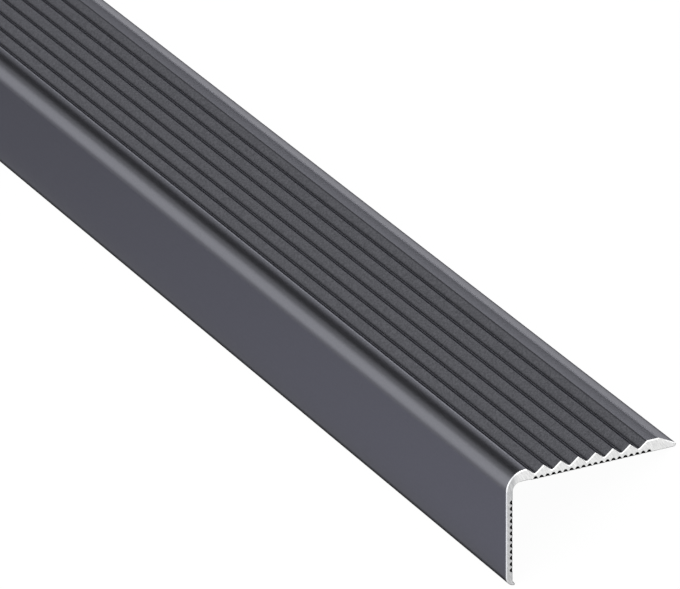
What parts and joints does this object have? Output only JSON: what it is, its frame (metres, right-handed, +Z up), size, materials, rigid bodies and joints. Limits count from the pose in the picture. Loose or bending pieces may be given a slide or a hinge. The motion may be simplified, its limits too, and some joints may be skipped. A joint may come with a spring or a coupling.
{
  "type": "stair nosing",
  "caption": "Extruded aluminium stair nosing: a ribbed anti-slip tread flange and a plain front leg joined by a rounded nose, with small adhesive key grooves on the inner faces.",
  "frame": {"origin": "middle of the bar's length and of its depth, on the level floor that the bar lies on", "axes": "+X along the bar, +Y from the front leg towards the tread's back edge, +Z up. The bar lies unheld like a tent, on its toe and on the tread's back edge, so the tread falls 31.6 degrees towards +Y"},
  "size_m": [1, 0.0458, 0.0216],
  "materials": {
    "coated_aluminium": "satin anthracite coating on every drawn face, bare sawn aluminium on the two cut ends"
  },
  "bodies": {
    "root": {"nosing_profile": "coated_aluminium"}
  },
  "joints": []
}
